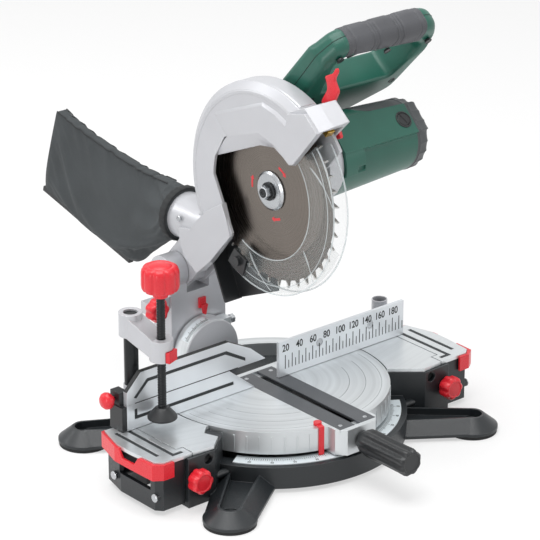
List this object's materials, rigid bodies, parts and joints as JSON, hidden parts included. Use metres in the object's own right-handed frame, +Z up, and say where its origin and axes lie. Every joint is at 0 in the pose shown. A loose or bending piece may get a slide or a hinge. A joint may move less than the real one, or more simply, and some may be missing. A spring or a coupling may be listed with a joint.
{
  "type": "mitre saw",
  "caption": "Bench mitre saw with a spring-raised chopping head, tilting column, turntable, split fence, hold-down clamp and sliding table extensions.",
  "frame": {"origin": "on the bench, in the middle of the four bench bolts", "axes": "+X to the operator's right, +Y to the back, +Z up"},
  "size_m": [0.46, 0.6579, 0.4801],
  "materials": {
    "base_paint": "satin",
    "rubber": "matte",
    "milled_alu": "satin",
    "scale_plate": "satin",
    "steel": "satin",
    "black_steel": "satin",
    "black_plastic": "matte",
    "red_plastic": "gloss",
    "silver_paint": "satin",
    "grey_plastic": "matte",
    "green_plastic": "satin",
    "soft_grip": "matte",
    "brass": "satin",
    "bag_fabric": "matte",
    "blade_steel": "satin",
    "clear_plastic": "gloss"
  },
  "bodies": {
    "base": {"base_casting": "base_paint", "rubber_feet": "rubber", "left_table": "milled_alu", "right_table": "milled_alu", "mitre_scale": "scale_plate", "lower_left_fence": "milled_alu", "right_fence": "milled_alu", "fence_screws": "steel", "fence_guide": "black_plastic", "clamp_sockets": "steel"},
    "left_extension": {"left_extension_plate": "milled_alu", "left_extension_frame": "base_paint", "left_extension_grip": "red_plastic"},
    "right_extension": {"right_extension_plate": "milled_alu", "right_extension_frame": "base_paint", "right_extension_grip": "red_plastic"},
    "left_knob": {"left_extension_knob": "red_plastic"},
    "right_knob": {"right_extension_knob": "red_plastic"},
    "sliding_fence": {"upper_left_fence": "milled_alu"},
    "fence_lock": {"fence_knob": "red_plastic"},
    "clamp": {"clamp_post": "black_steel", "clamp_arm": "silver_paint"},
    "clamp_button": {"clamp_release": "red_plastic"},
    "clamp_foot": {"clamp_pad": "black_plastic"},
    "clamp_spindle": {"clamp_screw": "black_steel", "clamp_knob": "red_plastic"},
    "turntable": {"turntable": "milled_alu", "kerf_inserts": "grey_plastic", "insert_screws": "steel", "mitre_pointer": "red_plastic", "bevel_bolts": "steel"},
    "mitre_lock": {"mitre_handle": "black_plastic"},
    "column": {"tilt_arm": "silver_paint", "head_pivot_pin": "steel", "bevel_pointer": "red_plastic"},
    "bevel_lock": {"bevel_knob": "red_plastic"},
    "head": {"upper_guard": "silver_paint", "gear_case": "silver_paint", "motor_housing": "green_plastic", "motor_end_cap": "grey_plastic", "motor_stator": "steel", "brush_caps": "black_plastic", "handle_front": "green_plastic", "handle_rear": "green_plastic", "handle_grip": "soft_grip", "laser_module": "brass", "dust_chute": "silver_paint", "dust_bag": "bag_fabric", "bag_slider": "black_plastic", "chip_deflector": "black_plastic", "cable_inlet": "black_plastic"},
    "switch": {"trigger": "black_plastic"},
    "lever": {"lock_lever": "red_plastic"},
    "blade": {"saw_blade": "blade_steel", "blade_flanges": "steel", "arbor_bolt": "steel", "arbor_shaft": "steel"},
    "rotor": {"armature": "steel"},
    "swing_guard": {"lower_guard": "clear_plastic", "guard_knuckle": "black_plastic"}
  },
  "joints": [
    {"name": "left_extension_slide", "type": "slide", "parent": "base", "child": "left_extension", "axis": [-1, 0, 0], "range_m": [0, 0.08]},
    {"name": "right_extension_slide", "type": "slide", "parent": "base", "child": "right_extension", "axis": [1, 0, 0], "range_m": [0, 0.08]},
    {"name": "left_knob_turn", "type": "hinge", "parent": "base", "child": "left_knob", "pos_m": [-0.18, -0.074, 0.035], "axis": [0, -1, 0], "range_deg": [0, 180]},
    {"name": "right_knob_turn", "type": "hinge", "parent": "base", "child": "right_knob", "pos_m": [0.18, -0.074, 0.035], "axis": [0, -1, 0], "range_deg": [0, 180]},
    {"name": "fence_slide", "type": "slide", "parent": "base", "child": "sliding_fence", "axis": [-1, 0, 0], "range_m": [0, 0.08]},
    {"name": "fence_knob_turn", "type": "hinge", "parent": "base", "child": "fence_lock", "pos_m": [-0.2073, 0.029, 0.0973], "axis": [-1, 0, 0], "range_deg": [0, 180]},
    {"name": "clamp_swivel", "type": "hinge", "parent": "base", "child": "clamp", "pos_m": [-0.178, 0.033, 0.0625], "axis": [0, 0, -1], "range_deg": [0, 35]},
    {"name": "clamp_button_press", "type": "slide", "parent": "clamp", "child": "clamp_button", "axis": [-0.342, 0.9397, 0], "range_m": [0, 0.0015], "stiffness_N_per_m": 400, "springref_m": -0.002},
    {"name": "clamp_travel", "type": "slide", "parent": "clamp", "child": "clamp_foot", "axis": [0, 0, 1], "range_m": [-0.0135, 0.05]},
    {"name": "clamp_screw_turn", "type": "hinge", "parent": "clamp_foot", "child": "clamp_spindle", "pos_m": [-0.1685, -0.007, 0.2], "axis": [0, 0, 1], "continuous": true},
    {"name": "mitre", "type": "hinge", "parent": "base", "child": "turntable", "pos_m": [0, 0.013, 0.0625], "axis": [0, 0, -1], "range_deg": [-47, 47]},
    {"name": "mitre_lock_turn", "type": "hinge", "parent": "turntable", "child": "mitre_lock", "pos_m": [0, -0.136, 0.047], "axis": [0, -1, 0], "range_deg": [0, 180]},
    {"name": "bevel", "type": "hinge", "parent": "turntable", "child": "column", "pos_m": [0, 0.137, 0.0625], "axis": [0, -1, 0], "range_deg": [0, 35]},
    {"name": "bevel_lock_turn", "type": "hinge", "parent": "column", "child": "bevel_lock", "pos_m": [-0.066, 0.139, 0.1265], "axis": [0, -1, 0], "range_deg": [0, 180]},
    {"name": "chop", "type": "hinge", "parent": "column", "child": "head", "pos_m": [0, 0.156, 0.156], "axis": [1, 0, 0], "range_deg": [0, 44], "stiffness_Nm_per_rad": 8, "springref_deg": -91.67},
    {"name": "trigger_pull", "type": "slide", "parent": "head", "child": "switch", "axis": [0, -0.6428, 0.766], "range_m": [0, 0.005], "stiffness_N_per_m": 600, "springref_m": -0.004},
    {"name": "lever_press", "type": "hinge", "parent": "head", "child": "lever", "pos_m": [0.025, -0.054, 0.38749], "axis": [-1, 0, 0], "range_deg": [0, 5], "stiffness_Nm_per_rad": 1, "springref_deg": -17.19},
    {"name": "blade_spin", "type": "hinge", "parent": "head", "child": "blade", "pos_m": [0, 0.012, 0.28749], "axis": [1, 0, 0], "continuous": true},
    {"name": "rotor_spin", "type": "hinge", "parent": "head", "child": "rotor", "pos_m": [0, -0.02054, 0.32545], "axis": [1, 0, 0], "continuous": true},
    {"name": "guard_swing", "type": "hinge", "parent": "head", "child": "swing_guard", "pos_m": [0, 0.012, 0.28749], "axis": [1, 0, 0], "range_deg": [-132, 0]}
  ],
  "couplings": [
    {"joint": "rotor_spin", "follows": "blade_spin", "ratio": -4},
    {"joint": "guard_swing", "follows": "chop", "ratio": -3}
  ]
}
